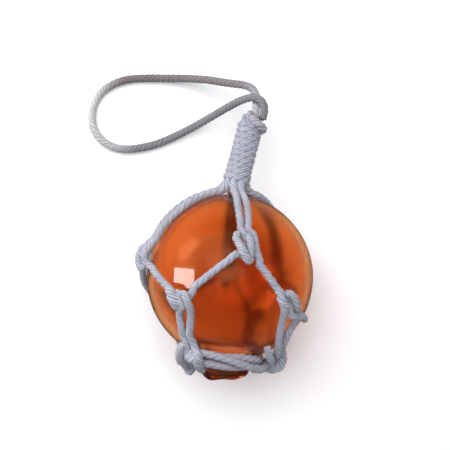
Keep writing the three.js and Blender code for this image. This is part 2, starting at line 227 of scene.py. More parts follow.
    # Loose fibres stand out of the strands at all angles.
    points = add_node(tree, "GeometryNodeDistributePointsOnFaces",
                      {"Mesh": fluffed.outputs[0], "Density": given["Fibre Density"],
                       "Seed": given["Seed"]})
    fibre = add_node(tree, "GeometryNodeMeshCone",
                     {"Vertices": 3, "Radius Top": 0.0, "Radius Bottom": given["Fibre Radius"],
                      "Depth": given["Fibre Length"]}, fill_type="NGON")
    lean = tree.nodes.new("FunctionNodeRandomValue")
    lean.data_type = "FLOAT_VECTOR"
    lean.inputs[0].default_value = [-angle for angle in FIBRE_LEAN]
    lean.inputs[1].default_value = FIBRE_LEAN
    turned = add_node(tree, "FunctionNodeRotateRotation",
                      {0: points.outputs["Rotation"], 1: lean.outputs[0]}, rotation_space="LOCAL")
    fibres = add_node(tree, "GeometryNodeInstanceOnPoints",
                      {"Points": points.outputs["Points"], "Instance": fibre.outputs["Mesh"],
                       "Rotation": turned.outputs[0]})
    loose = add_node(tree, "GeometryNodeRealizeInstances", {"Geometry": fibres.outputs[0]})
    joined = tree.nodes.new("GeometryNodeJoinGeometry")
    tree.links.new(loose.outputs[0], joined.inputs[0])
    tree.links.new(fluffed.outputs[0], joined.inputs[0])

    apart = add_node(tree, "ShaderNodeSeparateXYZ", {0: place})
    lowest = add_math(tree, "MAXIMUM", apart.outputs[2], given["Floor Height"])
    pressed = add_node(tree, "ShaderNodeCombineXYZ",
                       {0: apart.outputs[0], 1: apart.outputs[1], 2: lowest})
    rested = add_node(tree, "GeometryNodeSetPosition",
                      {"Geometry": joined.outputs[0], "Position": pressed.outputs[0]})
    shaded = add_node(tree, "GeometryNodeSetShadeSmooth", {"Geometry": rested.outputs[0]})
    real = add_node(tree, "GeometryNodeRealizeInstances", {"Geometry": shaded.outputs[0]})
    coloured = add_node(tree, "GeometryNodeSetMaterial",
                        {"Geometry": real.outputs[0], "Material": given["Finish"]})
    tree.links.new(coloured.outputs[0], tree.nodes.new("NodeGroupOutput").inputs[0])
    return tree


LAID_ROPE = laid_rope_tree()


def laid_rope(name, routes, finish, **sizes):
    """One piece made of every route as rope. A route's fourth value, if it has one, is its
    thickness there as a share of the cord's diameter."""
    vertices, edges, thickness, phase = [], [], [], []
    pick = random.Random(len(routes) + len(name))
    for route in routes:
        first = len(vertices)
        vertices += [tuple(place[:3]) for place in route]
        edges += [(first + i, first + i + 1) for i in range(len(route) - 1)]
        thickness += [place[3] if len(place) > 3 else 1.0 for place in route]
        phase += [pick.random()] * len(route)
    paths = bpy.data.meshes.new(name + "_paths")
    paths.from_pydata(vertices, edges, [])
    paths.attributes.new("thickness", "FLOAT", "POINT").data.foreach_set("value", thickness)
    paths.attributes.new("phase", "FLOAT", "POINT").data.foreach_set("value", phase)
    piece = bpy.data.objects.new(name, paths)
    scene.collection.objects.link(piece)
    modifier = piece.modifiers.new("laid_rope", "NODES")
    modifier.node_group = LAID_ROPE
    sockets = {s.name: s.identifier for s in LAID_ROPE.interface.items_tree}
    for size, value in sizes.items():
        modifier[sockets[size.replace("_", " ").title()]] = value
    modifier[sockets["Finish"]] = finish
    evaluated = piece.evaluated_get(bpy.context.evaluated_depsgraph_get())
    rope = bpy.data.meshes.new_from_object(evaluated)
    piece.modifiers.clear()
    piece.data = rope
    rope.name = name
    bpy.data.meshes.remove(paths)
    return piece


COTTON_ROUGHNESS = 0.92
COTTON_SPECULAR = 0.25
COTTON_SHEEN = 0.06
COTTON_SHEEN_ROUGHNESS = 0.6
COTTON_SHEEN_TINT = (0.90, 0.91, 1.0, 1.0)
FIBRES_ROUND_METRE = 9000
FIBRES_ALONG_METRE = 900.0
PATCHES_PER_METRE = 60.0
RIDGE_PAINTED_SHADE, FIBRE_TONE = 0.30, 0.90
DARKEST_TONE, LIGHTEST_TONE = 0.25, 0.85
CLEAN_BELOW, SOILED_ABOVE, MOST_SOIL = 0.45, 0.75, 0.6
FIBRE_HEIGHT = 0.8
YARN_RELIEF = 0.00010
RELIEF_STRENGTH = 0.7


def cotton(name, light, dark, soil, yarns, yarn_pitch, strand_radius, painted_shade=()):
    """Cotton yarn: lines of yarn round each strand, fibres along them, a greyer cast in
    patches, and painted shade in the grooves between the yarns. It may be painted with shade
    and light along its length, to shares given by places along it."""
    material = bpy.data.materials.new(name)
    material.use_nodes = True
    tree = material.node_tree
    shader = tree.nodes["Principled BSDF"]
    shader.inputs["Roughness"].default_value = COTTON_ROUGHNESS
    shader.inputs["Specular IOR Level"].default_value = COTTON_SPECULAR
    shader.inputs["Sheen Weight"].default_value = COTTON_SHEEN
    shader.inputs["Sheen Roughness"].default_value = COTTON_SHEEN_ROUGHNESS
    shader.inputs["Sheen Tint"].default_value = COTTON_SHEEN_TINT

    place = add_node(tree, "ShaderNodeTexCoord").outputs["Object"]
    along = add_node(tree, "ShaderNodeAttribute", attribute_name="along").outputs["Fac"]
    around = add_node(tree, "ShaderNodeSeparateXYZ", {
        0: add_node(tree, "ShaderNodeAttribute", attribute_name="round").outputs["Vector"]})
    angle = add_math(tree, "ARCTAN2", around.outputs[1], around.outputs[0])
    twist = add_math(tree, "MULTIPLY", along, math.tau / yarn_pitch)
    turned = add_math(tree, "ADD", angle, twist)
    ridge = add_math(tree, "SINE", add_math(tree, "MULTIPLY", turned, yarns))
    ridge = add_math(tree, "ADD", add_math(tree, "MULTIPLY", ridge, 0.5), 0.5)
    fibre_reach = strand_radius * FIBRES_ROUND_METRE
    fibre_place = add_node(tree, "ShaderNodeCombineXYZ", {
        0: add_math(tree, "MULTIPLY", add_math(tree, "SINE", turned), fibre_reach),
        1: add_math(tree, "MULTIPLY", add_math(tree, "COSINE", turned), fibre_reach),
        2: add_math(tree, "MULTIPLY", along, FIBRES_ALONG_METRE)})
    fibres = add_node(tree, "ShaderNodeTexNoise",
                      {"Vector": fibre_place.outputs[0], "Scale": 1.0, "Detail": 3.0}).outputs[0]
    patches = add_node(tree, "ShaderNodeTexNoise",
                       {"Vector": place, "Scale": PATCHES_PER_METRE, "Detail": 3.0}).outputs[0]

    # Painted shade: the grooves between the yarns are darker and the ridges lighter; the fibres
    # vary the tone at random.
    tone = add_math(tree, "ADD", add_math(tree, "MULTIPLY", ridge, RIDGE_PAINTED_SHADE),
                    add_math(tree, "MULTIPLY", fibres, FIBRE_TONE))
    colour = add_node(tree, "ShaderNodeValToRGB", {0: tone})
    colour.color_ramp.elements[0].position = DARKEST_TONE
    colour.color_ramp.elements[0].color = (*dark, 1)
    colour.color_ramp.elements[1].position = LIGHTEST_TONE
    colour.color_ramp.elements[1].color = (*light, 1)
    amount = add_node(tree, "ShaderNodeMapRange",
                      {"Value": patches, "From Min": CLEAN_BELOW, "From Max": SOILED_ABOVE,
                       "To Max": MOST_SOIL}).outputs[0]
    mixed = add_node(tree, "ShaderNodeMix", data_type="RGBA", blend_type="MULTIPLY")
    tree.links.new(amount, mixed.inputs["Factor"])
    tree.links.new(colour.outputs[0], mixed.inputs[6])
    mixed.inputs[7].default_value = (*soil, 1)
    finish = mixed.outputs[2]
    # Painted shade and light along the cord: its colour is multiplied by the shares given by places
    # along it.
    if painted_shade:
        whole = painted_shade[-1][0]
        share = add_node(tree, "ShaderNodeValToRGB", {0: add_math(tree, "DIVIDE", along, whole)})
        while len(share.color_ramp.elements) < len(painted_shade):
            share.color_ramp.elements.new(1.0)
        for element, (distance, kept) in zip(share.color_ramp.elements, painted_shade):
            element.position = distance / whole
            element.color = (*kept, 1)
        shade_mixed = add_node(tree, "ShaderNodeMix", data_type="RGBA", blend_type="MULTIPLY")
        shade_mixed.inputs["Factor"].default_value = 1.0
        tree.links.new(finish, shade_mixed.inputs[6])
        tree.links.new(share.outputs[0], shade_mixed.inputs[7])
        finish = shade_mixed.outputs[2]
    tree.links.new(finish, shader.inputs["Base Color"])

    height = add_math(tree, "ADD", ridge, add_math(tree, "MULTIPLY", fibres, FIBRE_HEIGHT))
    bump = add_node(tree, "ShaderNodeBump",
                    {"Height": height, "Strength": RELIEF_STRENGTH, "Distance": YARN_RELIEF})
    tree.links.new(bump.outputs[0], shader.inputs["Normal"])
    return material


# Painted shade and light along the loop cord: how much of its brightness is kept, by metres
# along it. The legs are painted darker and the bend at the left lighter, as the light falls.
LOOP_PAINTED_SHADE = [
    (0.0, (0.80, 0.80, 0.87)), (0.013, (0.62, 0.62, 0.66)), (0.024, (0.36, 0.33, 0.34)),
    (0.088, (0.32, 0.28, 0.29)), (0.106, (1.0, 1.0, 1.0)), (0.124, (0.95, 0.95, 0.95)),
    (0.145, (0.36, 0.36, 0.37)), (0.22, (0.38, 0.37, 0.39)),
]
loop_cotton = cotton("loop_cotton", light=(0.68, 0.68, 0.69), dark=(0.28, 0.27, 0.275),
                     soil=(0.80, 0.74, 0.72), yarns=5, yarn_pitch=0.012, strand_radius=0.0011,
                     painted_shade=LOOP_PAINTED_SHADE)
loop_path = smooth_route(LOOP_ROUTE)
hanging_loop = laid_rope("hanging_loop_cord", [loop_path], loop_cotton, cord_diameter=LOOP_CORD,
                         strands=LOOP_STRANDS, strand_share=LOOP_STRAND_SHARE,
                         lay_length=LOOP_LAY, step=SAMPLE, unevenness=LOOP_UNEVENNESS,
                         fluff=LOOP_FLUFF)
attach(hanging_loop, "root")
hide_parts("hanging_loop")

# ---- The glass ball -----------------------------------------------------------------------
# A sealed hollow ball of amber-orange glass, blown by mouth, with walls of about 2.5 mm. The hole
# where it left the pipe is sealed with a button of molten glass, which dripped to one side.
BALL_RADIUS = 0.038
GLASS_WALL = 0.0025
CAVITY_SHIFT = 0.0005
BALL_TURNS = 128
BALL_RINGS = 80
FOOT_OF_BUTTON = 0.0135
BUTTON_OUTLINE = [
    (0.0122, -0.0370), (0.0117, -0.0390), (0.0115, -0.0416), (0.0103, -0.0442),
    (0.0078, -0.0458), (0.0040, -0.0464), (0.0, -0.0463),
]
DRIP = Vector((-0.0056, -0.0425, 0.0020))
DRIP_REACH = 0.0062
DRIP_RISE = 0.0024
DRIP_WAY = Vector((-0.25, -1, 0.1)).normalized()
BUTTON_STEP = 0.0009
BUTTON_BLEND = 0.008
SWIRL_HEIGHT = 0.00018
SWIRL_TIGHTNESS = 900
SWIRL_ARMS = 3
OUTER_WAVE = 0.00022
INNER_WAVE = 0.00010
WAVES_PER_METRE = 55
GLASS_IOR = 1.43
AMBER = (0.80, 0.34, 0.15)
AMBER_INSIDE = (1.0, 0.41, 0.12)
OUTSIDE_ROUGHNESS = 0.0
INSIDE_ROUGHNESS = 0.18
RIPPLES_PER_METRE = 45.0
RIPPLE_STRENGTH = 0.5
RIPPLE_DEPTH = 0.0003


def turned_shell(outline, turns):
    """Vertices and faces of an outline of radius and y turned round the Y axis, closed at its
    two ends on the axis, with the faces outwards where the outline runs towards -Y."""
    middle = outline[1:-1]
    vertices = [(0, outline[0][1], 0)]
    for radius, y in middle:
        for i in range(turns):
            a = math.tau * i / turns
            vertices.append((radius * math.sin(a), y, radius * math.cos(a)))
    vertices.append((0, outline[-1][1], 0))
    faces = [(0, 1 + i, 1 + (i + 1) % turns) for i in range(turns)]
    for ring in range(len(middle) - 1):
        a, b = 1 + ring * turns, 1 + (ring + 1) * turns
        faces += [(a + i, b + i, b + (i + 1) % turns, a + (i + 1) % turns) for i in range(turns)]
    last, a = len(vertices) - 1, 1 + (len(middle) - 1) * turns
    faces += [(last, a + (i + 1) % turns, a + i) for i in range(turns)]
    return vertices, faces


stop = math.pi - math.asin(FOOT_OF_BUTTON / BALL_RADIUS)
outer = [(BALL_RADIUS * math.sin(stop * i / BALL_RINGS),
          BALL_RADIUS * math.cos(stop * i / BALL_RINGS)) for i in range(BALL_RINGS)]
last = (BALL_RADIUS * math.sin(stop), BALL_RADIUS * math.cos(stop))
button = smooth_route([(r, y, 0) for r, y in [last] + BUTTON_OUTLINE], BUTTON_STEP)
outer += [(r, y) for r, y, _ in button]
inner_radius = BALL_RADIUS - GLASS_WALL
inner = [(inner_radius * math.sin(math.pi * i / BALL_RINGS),
          inner_radius * math.cos(math.pi * i / BALL_RINGS) + CAVITY_SHIFT)
         for i in range(BALL_RINGS + 1)]
inner[0], inner[-1] = (0, inner[0][1]), (0, inner[-1][1])

outer_vertices, outer_faces = turned_shell(outer, BALL_TURNS)
inner_vertices, inner_faces = turned_shell(inner, BALL_TURNS)


def blown(place, wave):
    """The place moved in or out a little, as mouth-blown glass is, and out where it dripped."""
    place = Vector(place)
    out = place.normalized()
    moved = place + out * wave * noise.noise(place * WAVES_PER_METRE)
    below = max(0.0, -place.y - BALL_RADIUS) / BUTTON_BLEND
    if below > 0:
        swirl = math.sin(SWIRL_ARMS * math.atan2(place.x, place.z)
                         + SWIRL_TIGHTNESS * math.hypot(place.x, place.z))
        moved += out * SWIRL_HEIGHT * min(1, below) * swirl
        near = max(0.0, 1 - ((place - DRIP).length / DRIP_REACH) ** 2)
        moved += DRIP_WAY * DRIP_RISE * near ** 2
    return moved


count = len(outer_vertices)
vertices = [blown(place, OUTER_WAVE) for place in outer_vertices]
vertices += [blown(place, INNER_WAVE) for place in inner_vertices]
faces = outer_faces + [tuple(count + i for i in reversed(face)) for face in inner_faces]
ball_mesh = bpy.data.meshes.new("blown_glass_ball")
ball_mesh.from_pydata(vertices, [], faces)
ball_mesh.transform(Matrix.Translation(ball_centre))
for polygon in ball_mesh.polygons:
    polygon.use_smooth = True
glass_ball = bpy.data.objects.new("blown_glass_ball", ball_mesh)
scene.collection.objects.link(glass_ball)


def glass(name, colour, roughness):
    """Clear coloured glass with faint ripples"""
    material = bpy.data.materials.new(name)
    material.use_nodes = True
    tree = material.node_tree
    shader = tree.nodes["Principled BSDF"]
    shader.inputs["Base Color"].default_value = (*colour, 1)
    shader.inputs["Roughness"].default_value = roughness
    shader.inputs["IOR"].default_value = GLASS_IOR
    shader.inputs["Transmission Weight"].default_value = 1.0
    place = add_node(tree, "ShaderNodeTexCoord").outputs["Object"]
    ripple = add_node(tree, "ShaderNodeTexNoise",
                      {"Vector": place, "Scale": RIPPLES_PER_METRE, "Detail": 1.0})
    bump = add_node(tree, "ShaderNodeBump", {
        "Height": ripple.outputs[0], "Strength": RIPPLE_STRENGTH, "Distance": RIPPLE_DEPTH})
    tree.links.new(bump.outputs[0], shader.inputs["Normal"])
    return material


glass_ball.data.materials.append(glass("amber_glass", AMBER, OUTSIDE_ROUGHNESS))
glass_ball.data.materials.append(glass("cavity_wall", AMBER_INSIDE, INSIDE_ROUGHNESS))
walls = [0] * len(outer_faces) + [1] * len(inner_faces)
glass_ball.data.polygons.foreach_set("material_index", walls)
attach(glass_ball, "root")
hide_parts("glass_ball")

# ---- The net ------------------------------------------------------------------------------
# Eight cords of soft three-strand cotton that spread from the neck in pairs. Each pair is knotted
# and parts, its cords are knotted to their neighbours' in new pairs, and those pairs are hitched
# round a ring of three cords twisted together. It is tied on the ball and never comes off.
MM = 0.001
NET_CORD = 4.0
NET_LAY = 10.4
NET_STRAND_SHARE = 0.64
SINGLE_SHARE = 0.87
PAIR_SHARE = 0.85
TIED_SHARE = 0.90
PAIR_SPACING = 3.1
NET_GAP = 0.1
FIBRE_DENSITY = 300000
FIBRE_LENGTH = 0.0012
FIBRE_RADIUS = 0.00005
NET_STEP = 0.0008
ROPE_SIDES = 10
NET_UNEVENNESS = 0.08
NET_FLUFF = 0.00014
KNOT_CLEAR = 8.2
RING_KNOT_CLEAR = 8.0
KNOT_MIDDLE = 3.0
PLACES_A_STRETCH = 7
NECK_FOOT = Vector((0.2, 42.9, 0))
NECK_WAY = Vector((6.2, 32.1, -8)).normalized()
NECK_FOOT_LOW = 39.6
ROOT_AZIMUTHS = {"right": 118}
ROOT_LATITUDE = 74
# Each root cord's way down: how far up the neck it is, how far out, how far the pair has spread
# and how thick it is. Then come its reach and thickness where it comes down on the glass.
ROOT_WAY = [(8, 2.4, 0.6, 1.0), (2.5, 3.0, 0.9, 1.0), (-0.8, 4.4, 1, 1.1)]
ROOT_REACH, ROOT_SHARE = 6.6, 1.0
LEFT, RIGHT = -1, 1
ball = BALL_RADIUS / MM

# Each knot's azimuth round the net and latitude towards the neck, and how far its pair stands
# apart halfway. Turns are millimetres right of the knot's middle, down from it and over the glass.
UPPER_KNOTS = [("front", 9, 20.5, 0.4), ("right", 145, -2, 0.1), ("under", 182, 0, 0.1),
               ("left", 288, 10.5, 1.6)]
MIDDLE_KNOTS = [("right_front", 39, -12.5, 0.9), ("right_back", 157, -31, 0.3),
                ("left_back", 233, -22, 0.3), ("left_front", 328, -13.5, 0.9)]
RING_KNOTS = [("right_front", 71, -57), ("right_back", 152, -60), ("left_back", 234, -60),
              ("left_front", 314, -58.5)]
LONG_CORD_SLACK = 8
# The long cord that comes in from the right, by azimuth and latitude, is stretched thin.
LONG_CORD_END = [(126, -18), (108, -25), (92, -26.5), (78, -24.5)]
LONG_CORD_HEIGHT = 1.4
LONG_CORD_SHARE = 0.68
PLAIN_SIZE = 0.85

PLAIN_UPPER = {
    LEFT: [(-1.6, -5.6, 3.4), (-0.6, -2.4, 2.2), (1.6, 1.4, 2.2), (2.8, 4.6, 3.2),
           (1.0, 5.8, 4.6), (-0.7, 2.6, 5.6), (-2.5, -1.6, 5.4), (-4.6, -4.6, 3.8),
           (-5.4, -2.6, 2.4), (-5.0, 1.0, 2.2)],
    RIGHT: [(1.8, -5.4, 3.0), (2.6, -3.0, 4.2), (3.6, 0.4, 5.0), (4.8, 3.0, 3.6)],
}
PLAIN_MIDDLE = {
    LEFT: [(-4.6, -3.0, 3.0), (-3.2, -0.6, 4.6), (-1.8, 2.4, 4.6), (-1.6, 5.4, 3.2)],
    RIGHT: [(4.8, -2.6, 2.4), (1.4, -0.6, 2.1), (-2.6, 0.8, 2.1), (-5.2, -0.8, 2.8),
            (-4.4, -3.8, 4.4), (-1.2, -4.6, 5.4), (2.0, -2.6, 5.4), (3.4, 1.0, 4.8),
            (2.4, 5.0, 3.0)],
}
PLAIN_RING = {
    LEFT: [(-2.0, -5.6, 3.0), (-4.4, -2.0, 4.2), (-4.6, 2.4, 5.2), (-1.8, 5.6, 5.2),
           (0.8, 7.0, 4.0)],
    RIGHT: [(1.4, -5.4, 3.6), (-0.6, -2.2, 6.0), (1.6, 0.6, 7.0), (4.6, 3.4, 6.2),
            (5.4, 6.4, 3.6)],
}
# The five knots that face up are tied a little differently from one another.
FRONT_KNOT = {
    LEFT: [(-1.1, -6.4, 4.0), (0.0, -3.2, 2.2), (0.8, 1.5, 2.0), (2.2, 4.4, 2.8), (1.3, 5.6, 4.4),
           (0.2, 3.6, 5.5, 1.0), (-1.5, 0.9, 5.9, 1.05), (-3.1, -1.8, 5.4), (-4.5, -4.2, 4.4),
           (-3.4, -6.1, 3.0), (-1.1, -6.1, 2.2), (0.6, -5.2, 3.8), (1.5, -3.2, 5.2),
           (2.1, -0.8, 5.5), (2.3, 1.8, 4.9), (1.9, 4.0, 3.2), (0.4, 4.2, 2.0), (-1.6, 2.9, 1.9),
           (-4.2, 3.0, 2.2)],
    RIGHT: [(2.9, -6.0, 2.3), (3.5, -3.8, 2.2), (4.1, -1.2, 2.2), (5.0, 2.2, 2.2),
            (6.4, 5.6, 2.0)],
}
LEFT_FRONT_KNOT = {
    LEFT: [(-5.7, -4.4, 3.6), (-4.5, -2.8, 4.8, 1.2), (-3.4, -0.5, 5.4, 1.35),
           (-2.2, 1.8, 5.0, 1.25), (-0.8, 3.6, 3.8, 1.0), (1.0, 3.4, 2.4), (2.0, 1.2, 1.8),
           (0.6, -1.2, 2.0), (-1.2, -2.4, 3.0), (-0.7, -0.6, 4.2), (0.3, 1.2, 4.6),
           (1.3, 3.0, 4.2), (0.4, 4.7, 3.4), (0.0, 6.6, 2.4), (0.3, 9.0, 1.9), (1.1, 12.4, 1.9),
           (1.8, 16.0, 2.2)],
    RIGHT: [(4.8, -2.6, 2.2), (3.2, -1.0, 1.8), (1.2, -0.4, 2.2), (0.5, -1.8, 3.4),
            (1.8, -2.2, 4.8), (2.8, -0.4, 5.6), (3.7, 1.6, 5.2), (4.5, 3.6, 4.0), (4.9, 5.8, 2.6),
            (5.0, 8.4, 1.9), (4.9, 12.4, 1.9), (4.8, 16.0, 2.4)],
}
RIGHT_FRONT_KNOT = {
    LEFT: [(-3.0, -4.4, 3.8, 1.0), (-2.2, -1.6, 5.2, 1.1), (-0.7, 1.4, 5.2, 1.05),
           (-0.6, 4.4, 3.8), (-1.0, 7.4, 2.4), (-1.2, 10.4, 1.9), (-1.7, 14.6, 2.0)],
    RIGHT: [(7.6, 6.0, 1.7), (6.2, 6.2, 3.0), (4.4, 6.0, 4.4), (2.6, 5.2, 4.6), (1.8, 3.0, 3.0),
            (1.6, 0.4, 2.2), (0.8, -2.0, 2.4), (-0.4, -3.6, 3.2), (1.0, -4.4, 4.4),
            (2.8, -3.3, 5.2), (4.1, -1.1, 5.2), (4.9, 1.2, 4.6), (5.3, 3.8, 2.6), (5.0, 6.6, 1.9),
            (4.2, 9.6, 1.9), (2.2, 14.0, 2.0)],
}
LEFT_FRONT_HITCH = {
    LEFT: [(-2.0, -5.2, 3.4), (-1.2, -2.4, 4.0), (-0.4, 0.6, 2.6), (0.9, 4.4, 3.0),
           (1.0, 7.4, 3.6), (-0.3, 9.2, 4.4, 1.05), (-1.8, 7.2, 5.0, 1.05), (-2.9, 4.6, 6.2, 1.0),
           (-4.2, 1.8, 7.0, 1.05), (-4.9, -1.2, 6.8, 1.0), (-4.4, -3.9, 5.2), (-2.8, -4.6, 3.6),
           (-1.8, -2.2, 3.8), (-1.2, 0.4, 6.2, 1.1), (0.8, 0.9, 7.6, 1.25), (2.8, 0.6, 6.6, 1.1),
           (4.2, 0.8, 4.2)],
    RIGHT: [(1.2, -5.2, 3.0), (2.0, -3.0, 4.4), (3.2, -0.8, 6.6, 1.05), (3.5, 1.8, 7.8, 1.3),
            (4.1, 4.4, 7.4, 1.3), (5.3, 6.8, 5.6, 1.1), (6.3, 8.4, 3.6)],
}
RIGHT_FRONT_HITCH = {
    LEFT: [(2.4, -4.6, 3.0), (2.2, -1.8, 3.6), (2.6, 1.2, 3.0), (3.0, 4.4, 3.4),
           (1.4, 6.0, 4.6, 1.0), (0.2, 3.4, 5.4, 1.0), (-0.9, 0.2, 5.4), (-1.9, -2.4, 4.4),
           (-2.9, -4.6, 3.2)],
    RIGHT: [(4.2, -3.6, 3.0), (4.9, -0.4, 4.2, 1.15), (4.7, 2.8, 4.6, 1.3), (3.4, 5.5, 4.2, 1.2),
            (1.0, 6.8, 3.4), (-1.8, 6.4, 3.0), (-4.6, 5.4, 2.4)],
}
FACING_KNOTS = {
    ("upper", "front"): FRONT_KNOT,
    ("middle", "left_front"): LEFT_FRONT_KNOT,
    ("middle", "right_front"): RIGHT_FRONT_KNOT,
    ("ring", "left_front"): LEFT_FRONT_HITCH,
    ("ring", "right_front"): RIGHT_FRONT_HITCH,
}

# The latitude at which the ring runs by each knot, and the lowest it sinks to between them. The
# stretch that faces up runs straight from knot to knot.
RING_LATITUDES = {"right_front": -67, "right_back": -60, "left_back": -60, "left_front": -54}
RING_BOW_LATITUDE = -65
RING_CORDS = 3
RING_STEPS = 8
RING_SPREAD = 2.7
RING_HEIGHT = 4.5
RING_RISE = 2.3
RING_TWIST = -3.6
RING_PHASE = 0.5
RING_SHARE = 0.92


def net_point(azimuth, latitude, radius=1.0):
    around, up = math.radians(azimuth), math.radians(latitude)
    reach = radius * math.cos(up)
    return Vector((reach * math.sin(around), radius * math.sin(up), reach * math.cos(around)))


def over_glass(azimuth, latitude, right, down, height):
    """The place right and down of a knot's middle along the glass, at a height over it"""
    out = net_point(azimuth, latitude)
    across = net_point(azimuth + 90, 0)
    place = out * ball + across * right + across.cross(out) * down
    return place.normalized() * (ball + height)


def facing_up(azimuth, latitude, right, down, height):
    """The place over the glass right and down of a knot's middle as seen from straight above"""
    middle = net_point(azimuth, latitude, ball + KNOT_MIDDLE)
    x, y, reach = middle.x + right, middle.y - down, ball + height
    return Vector((x, y, math.sqrt(max(0.0, reach * reach - x * x - y * y))))


def on_the_way(start, end, distance, height, right=0.0):
    """The place along the glass from one direction towards another, moved right of that way"""
    axis = start.cross(end).normalized()
    place = Matrix.Rotation(distance / ball, 3, axis) @ start.normalized() * ball
    return (place - axis * right).normalized() * (ball + height)


def straight(start, end, clear_start, clear_end, share, side=0, parting=0.0, slack=0.0):
    """Places down a stretch between two knots, of a pair's left or right cord or a single one"""
    whole = ball * start.angle(end)
    height = NET_CORD * share / 2 + NET_GAP
    places = []
    for i in range(PLACES_A_STRETCH):
        s = i / (PLACES_A_STRETCH - 1)
        bow = math.sin(math.pi * s) ** 2
        aside = side * (PAIR_SPACING / 2 + parting * bow)
        distance = clear_start + (whole - clear_start - clear_end) * s
        places.append((*on_the_way(start, end, distance, height, -aside - slack * bow), share))
    return places


def tied(row, knot, side):
    """The turns in one knot of the cord that comes to it on this side"""
    name, azimuth, latitude = knot[:3]
    plain = {"upper": PLAIN_UPPER, "middle": PLAIN_MIDDLE, "ring": PLAIN_RING}[row]
    facing = FACING_KNOTS.get((row, name))
    put, size = (facing_up, 1) if facing else (over_glass, PLAIN_SIZE)
    return [(*put(azimuth, latitude, right * size, down * size, height), *(share or [TIED_SHARE]))
            for right, down, height, *share in (facing or plain)[side]]


def root(azimuth, side):
    """A cord's way from inside the whipping, down beside its neighbours, to the glass"""
    out, across = net_point(azimuth, 0), net_point(azimuth + 90, 0) * side * PAIR_SPACING / 2
    route = [(*(NECK_FOOT + NECK_WAY * up + out * reach + across * spread), share)
             for up, reach, spread, share in ROOT_WAY]
    low = Vector((0, NECK_FOOT_LOW, 0)) + out * ROOT_REACH + across
    return route + [(*low, ROOT_SHARE)]


net_routes = []
for i, upper in enumerate(UPPER_KNOTS):
    spread = ROOT_AZIMUTHS.get(upper[0], upper[1])
    here, pole = net_point(*upper[1:3]), net_point(spread, ROOT_LATITUDE)
    for side in (LEFT, RIGHT):
        to = (i + 3) % 4 if side == LEFT else i
        middle, ring = MIDDLE_KNOTS[to], RING_KNOTS[to]
        there, bottom = net_point(*middle[1:3]), net_point(*ring[1:3])
        # A cord that goes right from its upper knot comes to the next knot from the left.
        arrival = -side
        is_long = upper[0] == "right" and middle[0] == "right_front"
        route = root(spread, side)
        route += straight(pole, here, 0, KNOT_CLEAR, PAIR_SHARE, side, upper[3])
        route += tied("upper", upper, side)
        single = straight(here, there, KNOT_CLEAR, KNOT_CLEAR, SINGLE_SHARE,
                          slack=LONG_CORD_SLACK if is_long else 0)
        if is_long:
            single[2:] = [(*net_point(*place, ball + LONG_CORD_HEIGHT), LONG_CORD_SHARE)
                          for place in LONG_CORD_END]
        route += single
        route += tied("middle", middle, arrival)
        if ("middle", middle[0]) not in FACING_KNOTS:
            route += straight(there, bottom, KNOT_CLEAR, RING_KNOT_CLEAR, PAIR_SHARE, arrival,
                              middle[3])
        route += tied("ring", ring, arrival)
        net_routes.append(route)


def ring_point(start, end, share, cord):
    """A place on one of the ring's three cords, by the share of the way from knot to knot"""
    bow = math.sin(math.pi * share)
    leaves, arrives = RING_LATITUDES[start[0]], RING_LATITUDES[end[0]]
    latitude = leaves + (arrives - leaves) * share
    if start[0] != "left_front":
        latitude += (RING_BOW_LATITUDE - latitude) * bow
    azimuth = start[1] + ((end[1] - start[1]) % 360) * share
    phase = RING_PHASE + math.tau * cord / RING_CORDS + RING_TWIST * (share - 0.5) * bow
    return (*over_glass(azimuth, latitude, 0, RING_SPREAD * math.cos(phase),
                        RING_HEIGHT + RING_RISE * math.sin(phase)), RING_SHARE)


for cord in range(RING_CORDS):
    route = []
    for i, start in enumerate(RING_KNOTS):
        end = RING_KNOTS[(i + 1) % 4]
        route += [ring_point(start, end, step / RING_STEPS, cord) for step in range(RING_STEPS)]
    net_routes.append(route + [ring_point(RING_KNOTS[3], RING_KNOTS[0], 1, cord)])


def in_metres(route):
    """A route round the ball's centre as a smooth route in the frame"""
    places = [(x * MM, y * MM, z * MM + ball_centre.z, share) for x, y, z, share in route]
    return smooth_route(places)


net_cotton = cotton("net_cotton", light=(0.50, 0.51, 0.58), dark=(0.10, 0.095, 0.12),
                    soil=(0.72, 0.70, 0.70), yarns=6, yarn_pitch=0.010, strand_radius=0.0012)
net = laid_rope("knotted_net", [in_metres(route) for route in net_routes], net_cotton,
                cord_diameter=NET_CORD * MM, lay_length=NET_LAY * MM, strand_share=NET_STRAND_SHARE,
                step=NET_STEP, strand_sides=ROPE_SIDES, unevenness=NET_UNEVENNESS, fluff=NET_FLUFF,
                fibre_density=FIBRE_DENSITY, fibre_length=FIBRE_LENGTH, fibre_radius=FIBRE_RADIUS)
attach(net, "root")
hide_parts(*[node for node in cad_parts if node.startswith("net_")])

# ---- The bound neck -----------------------------------------------------------------------
# The eight cords of the net, gathered and bound tightly with one more cord in turns side by side,
# and cut off at a slant above it. The loop's cord is caught under the last turns and hitched.
WHIPPING_CORD = 4.0
WHIPPING_RADIUS = 6.1
WHIPPING_START = 0.9
WHIPPING_TURNS = 9.7
TURN_PITCH = 2.85
COLLAR_SWELL = 0.5
COLLAR_AT, COLLAR_REACH = 0.6, 0.7
TURN_PLACES = 12
WHIPPING_LAY = 0.0085
WHIPPING_STRAND_SHARE = 0.62
WHIPPING_STEP = 0.0007
WHIPPING_FLUFF = 0.00012
HITCH_SHARE = 1.05
GATHERED_CORDS = 8
BUNDLE_SPREAD = 3.3
CUT_PEAK = 6.2
CUT_PEAK_RIGHT = -1.2
CUT_SLANT = 1.1
CUT_RAGGEDNESS = 0.4
BUNDLE_DEPTH = 4
BUNDLE_SHARE = 0.8
BUNDLE_SHARE_OPENED = 0.84
BUNDLE_STRAND_SHARE = 0.66
